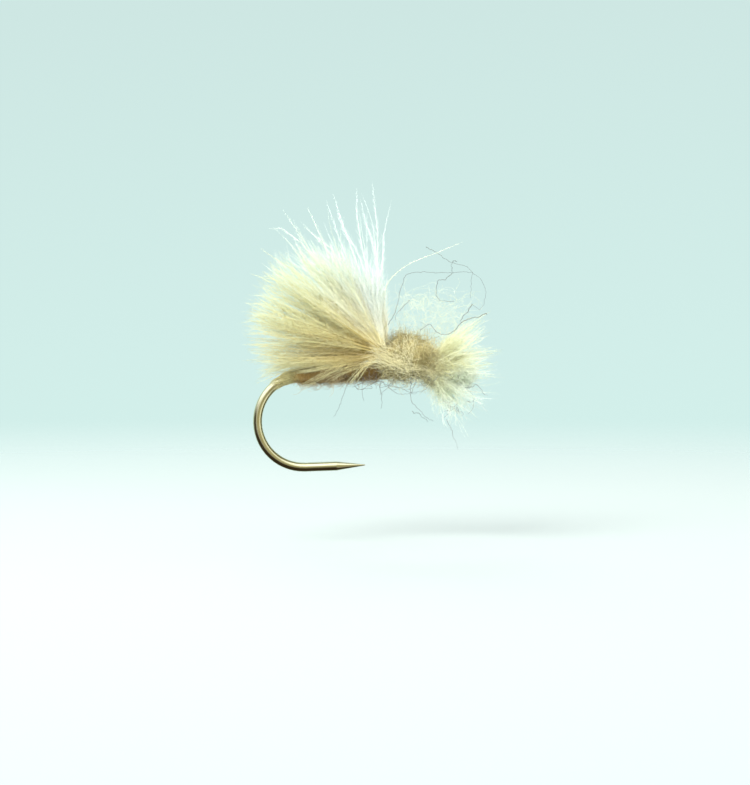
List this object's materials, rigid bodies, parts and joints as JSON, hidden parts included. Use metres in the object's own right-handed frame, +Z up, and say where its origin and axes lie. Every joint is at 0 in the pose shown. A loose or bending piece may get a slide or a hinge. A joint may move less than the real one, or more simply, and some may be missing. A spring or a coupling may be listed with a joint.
{
  "type": "dry fly",
  "caption": "Dry fly on a size 14 barbless hook: dubbed body, swept fan of feather barbs for a wing, and a spun hackle flaring forward at the eye.",
  "frame": {"origin": "centre of the hole in the hook's eye", "axes": "+X forward along the shank and off the point of the spear, +Z up, away from the point, +Y to the fly's left"},
  "size_m": [0.0165, 0.006, 0.0172],
  "materials": {
    "hook_wire": "bright pale champagne nickel plating on steel wire",
    "tying_thread": "fine waxed olive-tan thread",
    "abdomen_fur": "brown-olive dubbing, matte and fuzzy",
    "thorax_fur": "tan-olive dubbing, loose and fuzzy",
    "wing_feather": "translucent cream downy barbs, tan at the root and whitish at the tips",
    "hackle_feather": "translucent pale cream downy barbs",
    "varnish": "thin clear glossy head cement over thread"
  },
  "bodies": {
    "root": {"hook": "hook_wire", "thread_base": "tying_thread", "abdomen_dubbing": "abdomen_fur", "wing_plume_low": "wing_feather", "wing_plume_middle": "wing_feather", "wing_plume_high": "wing_feather", "wing_plume_upright": "wing_feather", "wing_butts": "wing_feather", "wing_lashing": "tying_thread", "thorax_dubbing": "thorax_fur", "hackle_core": "tying_thread", "hackle_upper_near": "hackle_feather", "hackle_upper_far": "hackle_feather", "hackle_lower_near": "hackle_feather", "hackle_lower_far": "hackle_feather", "head_thread": "tying_thread", "whip_finish": "tying_thread", "head_cement": "varnish"}
  },
  "joints": []
}
